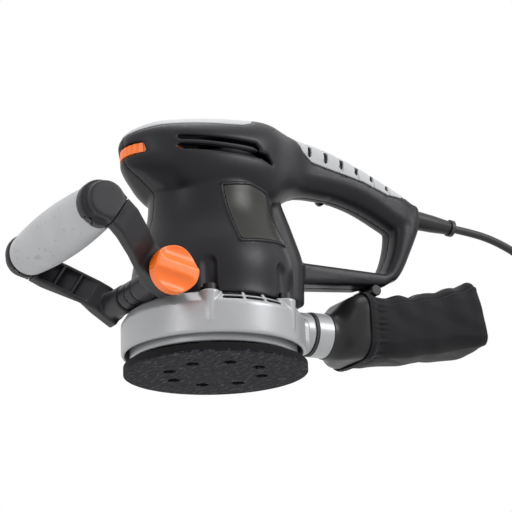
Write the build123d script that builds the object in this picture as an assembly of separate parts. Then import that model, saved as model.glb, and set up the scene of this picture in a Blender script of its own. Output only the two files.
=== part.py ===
from build123d import *
import os
from math import cos, hypot, pi, radians, sin, tan

# Random orbital sander with a 125 mm pad, a rear D handle, a hinged front handle and a dust bag.
# Millimetres.  +Z up, +X towards the rear handle and the mains cord, -Y the user's left side.
# Origin: motor axis on the pad's working face.

# ---- pad and orbit
PAD_R = 62.5
PAD_ORBIT = 1.25
HOOK_T = 1.2
PAD_T = 6.0
HOLE_COUNT = 8
HOLE_PCD = 65.0
HOLE_R = 4.5
HOLE_START = 33.6
PAD_SCREW_PCD = 46.0

# ---- base skirt and dust port
SKIRT_R = 62.75
SKIRT_RIM_Z = 12.0
SKIRT_SHOULDER_Z = 33.5
SKIRT_TOP_Z = 41.5
BOSS_PITCH_R = 57.0
BOSS_R = 7.0
BOSS_ANGLES = (60, 120, 240, 300)
PORT_Z = 35.0
PORT_R = 15.0
PORT_BORE_R = 12.0
PORT_END_X = 74.0
SPIGOT_R = 13.4
SPIGOT_END_X = 86.0

# ---- housing
BODY_R = 56.0
WALL = 3.0
HEAD_BOTTOM_Z = 116.0
SPINE_HALF = 18.0
BAR_BOTTOM_Z = 67.0
SKIN_T = 2.2
VENT_INNER_Y = 28.0
DIAL_X = -43.0
DIAL_Z = 148.4
DIAL_R = 23.0
DIAL_T = 6.6

# ---- front handle
HUB_X = -58.5
HUB_Z = 50.0
HUB_R = 9.0
HUB_GAP = 0.4
LUG_HALF = 11.0
GRIP_X = -113.2
GRIP_Z = 84.8
GRIP_HALF = 56.0
GRIP_Y = -4.0
GRIP_MID_R = 17.6
GRIP_END_R = 14.5
ARM_DEPTH = 21.0
NEAR_END_Y = 50.0
FAR_END_Y = 44.0
BOLT_R = 3.0
KNOB_R = 15.8
KNOB_T = 12.0
SWITCH_X = 34.0
SWITCH_Z = 152.0
SWITCH_FACE_Y = 38.0
ROCKER_TILT = 9.0
BRUSH_Z = 125.5
RAKE = 32.46

# ---- mains cord
CORD_R = 3.0
EXIT = (206.0, 0.0, 130.6)
COIL_CENTRE = (287.0, -43.0)
COIL_MID_R = 33.0
COIL_HALF = 9.0
CORD_ROUTE = [
    EXIT,
    (226.0, 0.0, 129.6),
    (246.0, 0.0, 126.0),
    (268.0, 0.0, 118.0),
    (287.0, -0.5, 103.0),
    (299.0, -1.5, 82.0),
    (302.0, -3.5, 58.0),
    (294.0, -8.0, 36.0),
    (274.0, -15.0, 16.5),
]


# ---- small helpers

def cyl_z(radius, low, high, x=0.0, y=0.0):
    return Pos(x, y, (low + high) / 2) * Cylinder(radius, high - low)


def cyl_y(radius, low, high, x=0.0, z=0.0):
    return Pos(x, (low + high) / 2, z) * Rot(90, 0, 0) * Cylinder(radius, high - low)


def cyl_x(radius, low, high, y=0.0, z=0.0):
    return Pos((low + high) / 2, y, z) * Rot(0, 90, 0) * Cylinder(radius, high - low)


def ring_z(outer, inner, low, high, x=0.0, y=0.0):
    return cyl_z(outer, low, high, x, y) - cyl_z(inner, low - 1, high + 1, x, y)


def block(x, y, z):
    size = (x[1] - x[0], y[1] - y[0], z[1] - z[0])
    return Pos((x[0] + x[1]) / 2, (y[0] + y[1]) / 2, (z[0] + z[1]) / 2) * Box(*size)


def side_plate(points, half, radius=0.0):
    """A closed XZ outline extruded to y = -half and +half, corners rounded by one radius."""
    sketch = Polyline(*points, close=True)
    face = make_face(Plane.XZ * sketch)
    if radius:
        face = fillet(face.vertices(), radius)
    return extrude(face, amount=half, both=True)


def cross_section(x, half, low, high, radius):
    """A rounded rectangle across the X axis."""
    plane = Plane(origin=(x, 0, (low + high) / 2), x_dir=(0, 1, 0), z_dir=(1, 0, 0))
    return plane * RectangleRounded(2 * half, high - low, radius)


def loft_x(sections, shrink=0.0):
    faces = [cross_section(x, w - shrink, low + shrink, high - shrink, r - shrink)
             for x, w, low, high, r in sections]
    return loft(faces)


def at_angles(radius, angles):
    return [(radius * cos(radians(a)), radius * sin(radians(a))) for a in angles]


def save(shape, node):
    export_step(shape, "parts/" + node + ".step")


os.makedirs("parts", exist_ok=True)


# ---- housing: outer form, then two shells

HEAD_SECTIONS = [
    # x, half width, bottom z, top z, corner radius
    (-66.5, 8.0, 144.0, 158.0, 6.8),
    (-64.5, 12.0, 140.0, 162.0, 10.5),
    (-60, 19.5, 136.0, 165.2, 14.0),
    (-52, 27.5, 130.0, 168.5, 17.0),
    (-38, 36.5, 119.5, 171.5, 23.0),
    (-14, 42.5, 114.5, 175.0, 26.0),
    (12, 42.5, 114.5, 178.3, 26.5),
    (34, 37.0, 116.5, 181.0, 25.0),
    (50, 27.0, 123.5, 180.3, 22.0),
    (66, 18.0, 134.0, 177.5, 15.0),
    (84, 15.5, 136.5, 174.8, 13.0),
    (104, 15.0, 135.0, 169.8, 13.0),
    (126, 15.0, 129.0, 161.8, 13.0),
    (146, 14.5, 120.0, 153.0, 12.0),
    (160, 13.5, 116.0, 146.5, 11.0),
    (169, 10.5, 120.0, 141.0, 8.0),
]
BODY_SECTIONS = [
    # z, centre x, half length, half width
    (SKIRT_TOP_Z, 0, BODY_R, BODY_R + 0.001),
    (62, 0, 55.5, 55.4),
    (80, 1, 53.5, 52),
    (98, 0.5, 47, 44),
    (118, 0, 43.5, 40),
    (137, 0, 41, 37.5),
]
POST_SECTIONS = [
    # z, front x, rear x, half width
    (140, 147, 170, 12.5),
    (126, 149, 170.5, 13.5),
    (110, 147.5, 164, 13.5),
    (94, 142, 156.5, 13),
    (80, 133, 146.5, 12.5),
]


def body_loft(shrink=0.0, extend=0.0):
    """The body below the head; extend lengthens it past both ends."""
    heights = [section[0] for section in BODY_SECTIONS]
    heights[0] -= extend
    heights[-1] += extend
    faces = [Plane.XY.offset(height) * Pos(x, 0) * Ellipse(a - shrink, b - shrink)
             for height, (_, x, a, b) in zip(heights, BODY_SECTIONS)]
    return loft(faces)


def rear_post():
    faces = [Plane.XY.offset(z) * Pos((front + rear) / 2, 0)
             * RectangleRounded(rear - front, 2 * half, 6.5)
             for z, front, rear, half in POST_SECTIONS]
    return loft(faces)


def lower_bar():
    outline = [(58, BAR_BOTTOM_Z), (118, 73), (136, 74.5), (146, 81.5), (142, 88), (136, 84), (58, 84)]
    bar = side_plate(outline, 12.5)
    long_edges = bar.edges().filter_by(lambda e: abs(abs(e.center().Y) - 12.5) < 0.01)
    return fillet(long_edges, 3.0)


def spine():
    """The upright at the body's rear, which the handle grows out of."""
    outline = [(20, 51.5), (67.5, 51.5), (68.7, 79), (66, 89), (58, 109), (50, 127.5), (40, 138), (20, 138)]
    plate = side_plate(outline, SPINE_HALF)
    rear = plate.edges().filter_by(lambda e: abs(abs(e.center().Y) - SPINE_HALF) < 0.01
                                   and e.center().X > 46 and e.center().Z > 52)
    return fillet(rear, 11.0)


def palm_zone():
    """The space above the palm pad's lower edge."""
    outline = [(-75, 157), (-60, 161.5), (-50, 163.3), (-28, 165.3), (-5, 166.8), (8, 168.3), (16, 171.5),
               (20, 175), (22, 182), (22, 195), (-75, 195)]
    return side_plate(outline, 60)


def grip_zone():
    """The space above the rear grip pad's lower edge."""
    outline = [(58, 190), (62.5, 177), (67, 165), (75, 158.5), (90, 155.8), (104, 153.5), (119, 150.5),
               (140, 143.5), (152, 143), (161, 147), (166, 160)]
    return side_plate(outline, 40)


def housing_outer():
    return body_loft() + loft_x(HEAD_SECTIONS) + rear_post() + lower_bar() + spine()


def skins():
    """Palm pad and grip pad: soft skins let into the top of the housing."""
    head = loft_x(HEAD_SECTIONS)
    core = loft_x(HEAD_SECTIONS, SKIN_T)
    palm = (head & palm_zone()) - core
    grip = (head & grip_zone()) - core
    return palm, grip


def grip_grooves():
    """Six shallow cross grooves in the rear grip pad."""
    grooves = Part()
    for i in range(6):
        x = 74.6 + 13.3 * i
        top = 175 - 0.42 * (x - 83) - 0.0009 * (x - 83) ** 2
        reach = 10 - 0.9 * i
        grooves += block((x - 1.1, x + 1.1), (-20, 20), (top - reach - 3.5, top + 6))
    return grooves - loft_x(HEAD_SECTIONS, SKIN_T / 2)


def badges():
    """A raised name panel on each side of the body."""
    prism = side_plate([(-10.5, 120.5), (10, 123.5), (26, 121), (39.5, 88), (38, 86), (-5, 80)], 70, 2.0)
    raised = (body_loft(-0.8) & prism) - body_loft()
    left = raised & block((-80, 80), (-80, -5), (40, 140))
    right = raised & block((-80, 80), (5, 80), (40, 140))
    return left, right


SCREW_REACH = 6.0
SCREW_SPOTS = [
    # x, z, y of the head's seat
    (-46, 137.5, 16.0),
    (55, 160, 12.0),
    (96, 139.5, 8.0),
    (157, 124, 7.0),
    (124, 78.5, 6.0),
]


def housing_bosses():
    """Screw bosses across the inside of both shells."""
    bosses = Part()
    for x, z, _ in SCREW_SPOTS:
        bosses += cyl_y(4.6, -39, 39, x, z)
    return bosses & loft_x(HEAD_SECTIONS)


def housing_screws():
    """Pan-head screws driven in from the right."""
    screws = Part()
    for x, z, seat in SCREW_SPOTS:
        screws += cyl_y(1.75, -SCREW_REACH, seat, x, z) + cyl_y(3.4, seat, seat + 2.6, x, z)
    return screws


def screw_wells():
    wells = Part()
    for x, z, seat in SCREW_SPOTS:
        wells += cyl_y(1.75, -SCREW_REACH, seat + 1, x, z) + cyl_y(3.8, seat, 60, x, z)
    return wells


def screw_channels(radius):
    """The four arched channels above the skirt screws."""
    channels = []
    for x, y in at_angles(58.5, BOSS_ANGLES):
        channels.append(cyl_z(radius, SKIRT_TOP_Z - 1, 62, x, y))
        channels.append(Pos(x, y, 62) * Sphere(radius))
    return channels


def hinge_trough(radius):
    return cyl_y(radius, -70, 70, HUB_X, HUB_Z)


def body_recesses():
    """Channels over the skirt screws, the dust port's clearance and the front hinge's trough."""
    return screw_channels(6.6) + [cyl_x(PORT_R + 0.6, 40, 80, 0, PORT_Z), hinge_trough(HUB_R + 1.8)]


def side_vents():
    """Two long curved slots on each side of the head."""
    cuts = []
    upper = [(-42, 152.9), (-40, 154.4), (15, 154.4), (21, 148.6), (12, 151.4), (-40, 151.2)]
    lower = [(-42, 146.3), (-40, 148.2), (25, 148.2), (31, 140.2), (20, 144.2), (-40, 144.4)]
    for outline in (upper, lower):
        slots = side_plate(outline, 60)
        cuts.append(slots - block((-80, 80), (-VENT_INNER_Y, VENT_INNER_Y), (100, 200)))
    return cuts


def housing_cavity():
    """The hollow for the motor, the fan and the electrics."""
    motor_space = body_loft(WALL, 7.0) - hinge_trough(HUB_R + 1.8 + WALL)
    for channel in screw_channels(6.6 + 2.4):
        motor_space -= channel
    head_space = loft_x(HEAD_SECTIONS[2:9], WALL + SKIN_T)
    wire_way = side_plate([(40, 148), (100, 146), (140, 134), (163, 128.5), (163, 139), (140, 149),
                           (100, 157), (40, 160)], 8.0)
    return motor_space + head_space + wire_way


def bearing_seats():
    """Cross ribs that hold the upper bearing and the stator."""
    web = cyl_z(41, 137.5, 147) & loft_x(HEAD_SECTIONS)
    web -= cyl_z(11.0, 138, 148)
    web -= cyl_z(8.0, 130, 150)
    web -= block((-80, -19), (-20, 20), (140, 160))
    ribs = web
    for z in (78, 108):
        ribs += ring_z(50, 29.0, z - 1.5, z + 1.5) & body_loft()
    return ribs


def handle_lug():
    """The fixed middle of the front hinge, moulded onto the housing's front."""
    lug = cyl_y(HUB_R, -LUG_HALF, LUG_HALF, HUB_X, HUB_Z)
    lug += block((HUB_X, -48), (-LUG_HALF, LUG_HALF), (HUB_Z - 5, HUB_Z + 7))
    return lug - cyl_y(BOLT_R + 0.05, -20, 20, HUB_X, HUB_Z)


def electronics_posts():
    return block((-22, -18), (-16, -12), (146, 153)) + block((-22, -18), (12, 16), (146, 153))


def housing_shells(palm, grip, inserts):
    body = housing_outer() - palm - grip
    for cut in body_recesses() + side_vents():
        body -= cut
    body -= housing_cavity()
    body += bearing_seats() + housing_bosses() + electronics_posts() + handle_lug()
    body -= screw_wells()
    body -= cyl_z(DIAL_R + 1.2, DIAL_Z - 4, DIAL_Z + 4.2, DIAL_X)
    body -= block((-80, DIAL_X), (-13.2, 13.2), (DIAL_Z - 4, DIAL_Z + 4.2))
    for piece in inserts:
        body -= piece
    left = body & block((-90, 200), (-90, 0), (30, 200))
    right = body & block((-90, 200), (0, 90), (30, 200))
    return left, right


# ---- controls


def switch_envelope():
    return (block((SWITCH_X - 11, SWITCH_X + 11), (20, SWITCH_FACE_Y), (SWITCH_Z - 7, SWITCH_Z + 7))
            + block((SWITCH_X - 14, SWITCH_X + 14), (SWITCH_FACE_Y - 3, SWITCH_FACE_Y + 1.2),
                    (SWITCH_Z - 9.5, SWITCH_Z + 9.5)))


def switch_well():
    """Clearance through the right shell for the switch and its bezel."""
    return switch_envelope() + block((SWITCH_X - 14, SWITCH_X + 14), (SWITCH_FACE_Y - 3, 60),
                                     (SWITCH_Z - 9.5, SWITCH_Z + 9.5))


def switch_body():
    body = switch_envelope()
    return body - block((SWITCH_X - 9.6, SWITCH_X + 9.6), (30, 50), (SWITCH_Z - 5.4, SWITCH_Z + 5.4))


def switch_rocker():
    """A rocker lying on its off side, turning about an upright pin line."""
    profile = [(-8.6, 0.2), (0, -1.2), (8.6, 0.2), (8.6, 4.2), (0, 3.0), (-8.6, 4.2)]
    face = make_face(Polyline(*profile, close=True))
    rocker = extrude(face, amount=5.0, both=True)
    rocker += cyl_z(2.2, -5.0, 5.0)
    return Pos(SWITCH_X, SWITCH_FACE_Y - 1.8, SWITCH_Z) * Rot(0, 0, -ROCKER_TILT) * rocker


def speed_dial():
    wheel = cyl_z(DIAL_R, DIAL_Z - DIAL_T / 2, DIAL_Z + DIAL_T / 2, DIAL_X)
    wheel -= cyl_z(3.05, DIAL_Z - 10, DIAL_Z + 10, DIAL_X)
    for x, y in at_angles(DIAL_R + 0.4, range(0, 360, 12)):
        wheel -= cyl_z(0.9, DIAL_Z - 10, DIAL_Z + 10, DIAL_X + x, y)
    return wheel


def speed_module():
    board = block((-56, -17), (-17, 17), (153, 154.6))
    pot = cyl_z(8, 154.6, 160, DIAL_X) + cyl_z(3.0, DIAL_Z - 3, 154.6, DIAL_X)
    triac = block((-30, -20), (-6, 6), (154.6, 160))
    return board + pot + triac


def capacitor():
    return fillet(block((4, 22), (-26, -15), (147, 161)).edges(), 1.0)


def cord_clamp():
    clamp = block((144, 152), (-7.4, 7.4), (133.8, 141.8))
    return clamp - cyl_x(CORD_R, 140, 160, 0, 137.8)


def strain_relief():
    outline = Polyline((0, 0), (0, 9), (2.5, 9), (2.5, 7.2), (20, 6.4), (35, 5.1), (35, 6.3), (38, 6.3), (38, 0),
                       close=True)
    sleeve = revolve(make_face(outline), Axis.X)
    return Pos(168.1, 0, 133.25) * Rot(0, 4, 0) * sleeve


def bag_rest_pin():
    return fillet(cyl_y(4.0, -13.5, 13.5, 126.5, 69.9).edges().sort_by(Axis.Y)[0::2], 0.8)


# ---- motor

LAMINATION = (72.0, 112.0)


def field_coils():
    coils = Part()
    for side in (-1, 1):
        y = (8, 30) if side > 0 else (-30, -8)
        hoop = ring_z(27.0, 19.6, 65, 119) & block((-24, 24), y, (60, 125))
        coils += hoop - (ring_z(28, 18, LAMINATION[0], LAMINATION[1]) & block((-13, 13), y, (60, 125)))
    return coils


def stator_core(coils):
    return ring_z(29.0, 18.6, *LAMINATION) - coils


def armature_shaft():
    return cyl_z(4.0, 24.4, 147)


def armature_core():
    core = ring_z(18.0, 4.0, *LAMINATION)
    for x, y in at_angles(17.4, range(0, 360, 30)):
        core -= cyl_z(1.1, 60, 120, x, y)
    return core


def armature_windings():
    low = ring_z(15.5, 4.0, 66, LAMINATION[0])
    high = ring_z(15.5, 4.0, LAMINATION[1], 118)
    return low + high


def commutator():
    drum = ring_z(11.0, 4.0, 119, 132)
    for x, y in at_angles(11.0, range(0, 360, 20)):
        drum -= cyl_z(0.35, 118, 133, x, y)
    return drum


def brush_set():
    holders, brushes, springs = Part(), Part(), Part()
    for side in (-1, 1):
        def across(low, high):
            return (low, high) if side > 0 else (-high, -low)
        sleeve = block((-5, 5), across(13.5, 27), (BRUSH_Z - 5, BRUSH_Z + 5))
        bore = block((-3.2, 3.2), across(10, 26), (BRUSH_Z - 3.2, BRUSH_Z + 3.2))
        holders += sleeve - bore
        brushes += block((-3.1, 3.1), across(11.1, 21), (BRUSH_Z - 3.1, BRUSH_Z + 3.1))
        coil = cyl_y(2.6, *across(21, 26), 0, BRUSH_Z) - cyl_y(1.7, *across(20, 27), 0, BRUSH_Z)
        springs += coil
    return holders, brushes, springs


def cooling_fan():
    fan = ring_z(43.0, 4.0, 51.5, 53.0) + ring_z(11.0, 4.0, 51.5, 63.0)
    blade = block((12, 42), (-0.8, 0.8), (53, 62.5))
    for i in range(12):
        fan += Rot(0, 0, 30 * i) * Pos(0, 4, 0) * blade
    return fan


def bearing_bracket():
    plate = ring_z(48.5, 12.0, 42.3, 45.3) + ring_z(17.0, 12.0, 42.3, 49.5)
    for x, y in at_angles(36, range(0, 360, 45)):
        plate -= cyl_z(7.0, 40, 50, x, y)
    for channel in screw_channels(6.6 + 2.6) + [hinge_trough(HUB_R + 5.0)]:
        plate -= channel
    return plate


# ---- orbit drive and pad

def eccentric_hub():
    hub = cyl_z(11.0, 24.4, 40.0) - cyl_z(4.0, 23.0, 41.0)
    pin = cyl_z(6.0, 9.0, 23.0, PAD_ORBIT)
    return hub + cyl_z(8.5, 23.0, 24.4, PAD_ORBIT) + pin


def counterweight():
    disc = ring_z(34.0, 11.0, 25.0, 30.5)
    return disc - block((-6, 40), (-40, 40), (20, 40))


def pad_bearing():
    return ring_z(14.0, 6.04, 9.4, 22.6, PAD_ORBIT)


def pad_carrier():
    flange = ring_z(27.5, 14.0, PAD_T, PAD_T + 4.0, PAD_ORBIT)
    hub = ring_z(18.5, 14.0, PAD_T, 22.4, PAD_ORBIT)
    return flange + hub


def pad_hole_points():
    angles = [HOLE_START + 360 / HOLE_COUNT * i for i in range(HOLE_COUNT)]
    return at_angles(HOLE_PCD / 2, angles)


def pad_screw_points():
    return at_angles(PAD_SCREW_PCD / 2, [HOLE_START + 22.5 + 90 * i for i in range(4)])


def pad_screws():
    screws = Part()
    for x, y in pad_screw_points():
        screws += cyl_z(3.4, 2.2, 4.4, x + PAD_ORBIT, y) + cyl_z(1.9, 4.4, 10.0, x + PAD_ORBIT, y)
    return screws


def backing_pad(screws):
    pad = cyl_z(PAD_R, HOOK_T, PAD_T, PAD_ORBIT)
    pad = fillet(pad.edges().sort_by(Axis.Z)[-1], 1.2)
    for x, y in pad_hole_points():
        pad -= cyl_z(HOLE_R, 0, 10, x + PAD_ORBIT, y)
    return pad - screws


def hook_face():
    face = cyl_z(PAD_R, 0, HOOK_T, PAD_ORBIT)
    for x, y in pad_hole_points():
        face -= cyl_z(HOLE_R, -1, 10, x + PAD_ORBIT, y)
    return face


# ---- base skirt

def skirt_boss(x, y, radial):
    top = Plane.XY.offset(SKIRT_TOP_Z) * Pos(x, y) * Circle(BOSS_R)
    tip = Plane.XY.offset(20.0) * Pos(radial[0], radial[1]) * Circle(0.8)
    return loft([tip, top], ruled=True)


def skirt_vents():
    """Two rows of exhaust slots in the chamfer, between the bosses on each side."""
    cuts = []
    for low, radius in ((38.9, 54.0), (35.6, 56.0)):
        for i in range(3):
            start = -112 + 15 * i
            slot = make_face(Polyline((radius, 0, low), (66, 0, low), (66, 0, low + 1.9), (radius, 0, low + 1.9),
                                      close=True))
            cut = Rot(0, 0, start) * revolve(slot, Axis.Z, revolution_arc=13.4)
            cuts += [cut, mirror(cut, Plane.XZ)]
    return cuts


def base_skirt(screws):
    profile = [(61.0, SKIRT_RIM_Z), (SKIRT_R, SKIRT_RIM_Z + 1.5), (SKIRT_R, SKIRT_SHOULDER_Z),
               (57.5, SKIRT_TOP_Z), (54.2, SKIRT_TOP_Z), (58.6, 35.5), (24, 35.5), (24, 42.2), (16, 42.2),
               (16, 32.5), (54.8, 32.5), (54.8, 8.6), (55.4, 8.0), (56.4, 8.0), (56.9, 8.6), (56.9, 31),
               (59.9, 31), (60.2, SKIRT_RIM_Z)]
    skirt = revolve(make_face(Polyline(*[(r, 0, z) for r, z in profile], close=True)), Axis.Z)
    rims = at_angles(SKIRT_R, BOSS_ANGLES)
    inside = cyl_z(56.9, 0, 31) + cyl_z(58.0, 31, 35.5)
    for (x, y), rim in zip(at_angles(BOSS_PITCH_R, BOSS_ANGLES), rims):
        skirt += skirt_boss(x, y, rim) - inside
    port = cyl_x(PORT_R, 57.5, PORT_END_X, 0, PORT_Z) - cyl_z(59.0, 0, 60)
    port += cyl_x(SPIGOT_R, PORT_END_X - 1, SPIGOT_END_X, 0, PORT_Z)
    port += fillet(block((57.5, 66), (-19, 19), (18.5, 41.4)).edges().filter_by(Axis.X), 6.0) - cyl_z(60, 0, 60)
    skirt += port
    skirt -= cyl_x(PORT_BORE_R, 57.3, 90, 0, PORT_Z)
    skirt -= cyl_y(HUB_R + 1.0, -60, 60, HUB_X, HUB_Z)
    for cut in skirt_vents():
        skirt -= cut
    return skirt - screws


def skirt_screws():
    screws = Part()
    for x, y in at_angles(BOSS_PITCH_R, BOSS_ANGLES):
        screws += cyl_z(4.4, SKIRT_TOP_Z + 0.1, 46.0, x, y) - cyl_z(2.0, 44.2, 47, x, y)
        screws += cyl_z(2.0, 30, SKIRT_TOP_Z + 0.1, x, y)
    return screws


# ---- dust collection

HOPPER_SECTIONS = [
    # x, half width, bottom z, top z, corner radius
    (88, 16.4, 18.6, 51.4, 16.2),
    (94, 17.5, 17.6, 53.0, 16.0),
    (106, 27.0, 16.6, 63.0, 14.5),
    (110, 28.0, 16.6, 64.0, 14.5),
    (117, 28.0, 16.8, 64.2, 14.5),
]
BAG_SECTIONS = [
    (117.3, 27.0, 18.4, 63.2, 14.0),
    (126, 27.8, 18.2, 64.2, 15.0),
    (146, 28.2, 20.8, 67.0, 16.0),
    (170, 27.5, 25.4, 72.5, 16.0),
    (192, 26.5, 30.6, 78.0, 15.5),
    (208, 25.0, 34.6, 82.0, 14.0),
    (216, 22.5, 38.6, 80.0, 13.0),
]


def adapter_ring():
    sleeve = cyl_x(15.8, 76.4, 88, 0, PORT_Z) + cyl_x(14.4, 88, 97, 0, PORT_Z)
    return sleeve - cyl_x(SPIGOT_R + 0.05, 70, 100, 0, PORT_Z)


def port_o_ring():
    return cyl_x(PORT_R + 0.4, PORT_END_X + 0.2, PORT_END_X + 2.0, 0, PORT_Z) - cyl_x(SPIGOT_R, 70, 80, 0, PORT_Z)


def bag_hopper():
    outer = loft_x(HOPPER_SECTIONS)
    inner = loft_x(HOPPER_SECTIONS, 2.0)
    return outer - inner - cyl_x(14.6, 80, 97.3, 0, PORT_Z)


def bag_band():
    wide = [(110.6, 29.4, 15.4, 65.4, 15.9), (116.8, 29.4, 15.5, 65.5, 15.9)]
    return loft_x(wide) - loft_x(HOPPER_SECTIONS)


def dust_bag():
    return loft_x(BAG_SECTIONS)


# ---- front handle

HANDLE_PLANE = Plane(origin=(HUB_X, 0, HUB_Z), x_dir=(-cos(radians(RAKE)), 0, sin(radians(RAKE))),
                     z_dir=(sin(radians(RAKE)), 0, cos(radians(RAKE))))
GRIP_REACH = hypot(GRIP_X - HUB_X, GRIP_Z - HUB_Z)


NEAR_ARM = [(-9, 33), (9, 33), (14, 40), (19, 43), (30, 52), (44, 61), (54, 65), (60, 66), (68, 66), (68, 76),
            (58, 76), (44, 72), (30, 62), (19, 52), (9, 50), (-9, 50)]
FAR_ARM = [(-9, 33.4), (9, 33.4), (17, 36), (40, 47), (52, 54), (60, 56), (68, 56), (68, 65), (58, 65), (44, 60),
           (30, 50), (19, 42), (9, 44), (-9, 44)]


def arm(side, end):
    """One arm: hub barrel, raked web and the cap that holds the grip. side is -1 left, 1 right."""
    outline, ring, outer = (NEAR_ARM, (60.2, 68), 76) if side < 0 else (FAR_ARM, (52.2, 58), 65)
    face = make_face(HANDLE_PLANE * Polyline(*[(u, -side * v) for u, v in outline], close=True))
    shape = extrude(face, amount=ARM_DEPTH / 2, both=True)

    def out(low, high):
        return (low, high) if side > 0 else (-high, -low)
    shape += cyl_y(HUB_R + 1.5, *out(outline[0][1], end), HUB_X, HUB_Z)
    shape += cyl_y(HUB_R + 0.5, *out(LUG_HALF + HUB_GAP, outline[0][1] + 1), HUB_X, HUB_Z)
    shape += cyl_y(GRIP_END_R + 1.0, *out(*ring), GRIP_X, GRIP_Z)
    shape += cyl_y(12.5, *out(ring[1] - 1, outer), GRIP_X, GRIP_Z)
    shape -= cyl_y(BOLT_R + 0.05, -90, 90, HUB_X, HUB_Z)
    shape -= cyl_y(8.0, *out(40, outer - 6), GRIP_X, GRIP_Z)
    return shape - cap_screw(side, 3.3, 1.75)


def cap_screw(side, head_r, shank_r):
    """A screw through the cap's front into the grip core, or the hole for it."""
    head = cyl_z(head_r, -20, -12.4)
    shank = cyl_z(shank_r, -12.4, -2)
    return Pos(GRIP_X, GRIP_Y + (GRIP_HALF + 3.6) * side, GRIP_Z) * Rot(0, 35, 0) * (head + shank)


def handle_cap_screws():
    screws = Part()
    for side in (-1, 1):
        head = cyl_z(2.7, -14.4, -12.4)
        shank = cyl_z(1.75, -12.4, -2)
        screws += Pos(GRIP_X, GRIP_Y + (GRIP_HALF + 3.6) * side, GRIP_Z) * Rot(0, 35, 0) * (head + shank)
    return screws


def grip_core(screws):
    return cyl_y(8.0, GRIP_Y - GRIP_HALF - 9.5, GRIP_Y + GRIP_HALF + 6.5, GRIP_X, GRIP_Z) - screws


def front_grip():
    top = Spline((GRIP_END_R, -GRIP_HALF), (GRIP_MID_R - 0.6, -GRIP_HALF * 0.45), (GRIP_MID_R, 0),
                 (GRIP_MID_R - 0.6, GRIP_HALF * 0.45), (GRIP_END_R, GRIP_HALF))
    rest = Polyline((GRIP_END_R, GRIP_HALF), (8.0, GRIP_HALF), (8.0, -GRIP_HALF), (GRIP_END_R, -GRIP_HALF))
    spindle = revolve(make_face(top + rest), Axis.Y)
    return Pos(GRIP_X, GRIP_Y, GRIP_Z) * spindle


def clamp_knob():
    base_y = -NEAR_END_Y - 2.0
    knob = cyl_y(KNOB_R, base_y - 8.5, base_y, HUB_X, HUB_Z)
    ridge = cyl_y(KNOB_R, base_y - KNOB_T, base_y - 8.5, HUB_X, HUB_Z)
    ridge &= Pos(HUB_X, 0, HUB_Z) * Rot(0, -8, 0) * block((-20, 20), (-80, 0), (-5.5, 5.5))
    knob = knob + ridge
    return knob - clamp_bolt()


def clamp_bolt():
    shank = cyl_y(BOLT_R, -NEAR_END_Y - 9, FAR_END_Y + 6, HUB_X, HUB_Z)
    head = Pos(HUB_X, -NEAR_END_Y - 7.5, HUB_Z) * Rot(90, 0, 0) * extrude(RegularPolygon(5.6, 6), amount=1.5,
                                                                     both=True)
    return shank + head


def clamp_washer():
    return cyl_y(8.0, -NEAR_END_Y - 1.9, -NEAR_END_Y - 0.3, HUB_X, HUB_Z) - cyl_y(BOLT_R, -60, 0, HUB_X, HUB_Z)


def clamp_nut():
    nut = Pos(HUB_X, FAR_END_Y + 2.5, HUB_Z) * Rot(90, 0, 0) * extrude(RegularPolygon(5.8, 6), amount=2.5, both=True)
    return nut - cyl_y(BOLT_R + 0.05, 30, 60, HUB_X, HUB_Z)


# ---- mains cord

def corner_radii(points):
    radii = []
    for before, here, after in zip(points, points[1:], points[2:]):
        run_in = Vector(*here) - Vector(*before)
        run_out = Vector(*after) - Vector(*here)
        turn = run_in.get_angle(run_out)
        radii.append(0.45 * min(run_in.length, run_out.length) / tan(radians(turn / 2)))
    return radii


def power_cord():
    radii = corner_radii(CORD_ROUTE)
    print("cord radii", [round(r, 1) for r in radii])
    path = FilletPolyline(*CORD_ROUTE, radius=radii)
    start = Plane(origin=CORD_ROUTE[0], z_dir=Vector(*CORD_ROUTE[1]) - Vector(*CORD_ROUTE[0]))
    tube = sweep(start * Circle(CORD_R), path=path)
    expected = pi * CORD_R ** 2 * path.length
    print("cord length", round(path.length, 1), "volume ratio", round(tube.volume / expected, 4))
    return tube


def cord_coil():
    x, y = COIL_CENTRE
    coil = ring_z(COIL_MID_R + COIL_HALF, COIL_MID_R - COIL_HALF, 0, 2 * COIL_HALF, x, y)
    return fillet(coil.edges().filter_by(GeomType.CIRCLE), 2.5)


TAIL_START = (COIL_CENTRE[0] + COIL_MID_R + 6.0, COIL_CENTRE[1] + 13.0, 3.2)
PLUG_ENTRY = (COIL_CENTRE[0] + COIL_MID_R + 6.0, COIL_CENTRE[1] + 34.0, 9.5)


def cord_tail():
    line = Line(TAIL_START, PLUG_ENTRY)
    start = Plane(origin=TAIL_START, z_dir=line @ 1 - line @ 0)
    return sweep(start * Circle(CORD_R), path=line)


def plug_body():
    """A flat two-pin contour plug lying on the floor, pins pointing along +Y."""
    outline = [(-5.0, 0), (5.0, 0), (6.2, 16), (15.5, 24), (17.6, 36), (16.6, 45), (-16.6, 45), (-17.6, 36),
               (-15.5, 24), (-6.2, 16)]
    face = make_face(Polyline(*outline, close=True))
    body = extrude(face, amount=9.4, both=True)
    body = fillet(body.edges().filter_by(lambda e: abs(abs(e.center().Z) - 9.4) < 0.01), 3.0)
    return Pos(PLUG_ENTRY[0], PLUG_ENTRY[1], 9.5) * body


def plug_pins():
    pins = Part()
    for side in (-1, 1):
        x = PLUG_ENTRY[0] + 9.5 * side
        pins += cyl_y(2.4, PLUG_ENTRY[1] + 45, PLUG_ENTRY[1] + 64, x, 9.5)
    return pins


# ---- build

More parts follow.
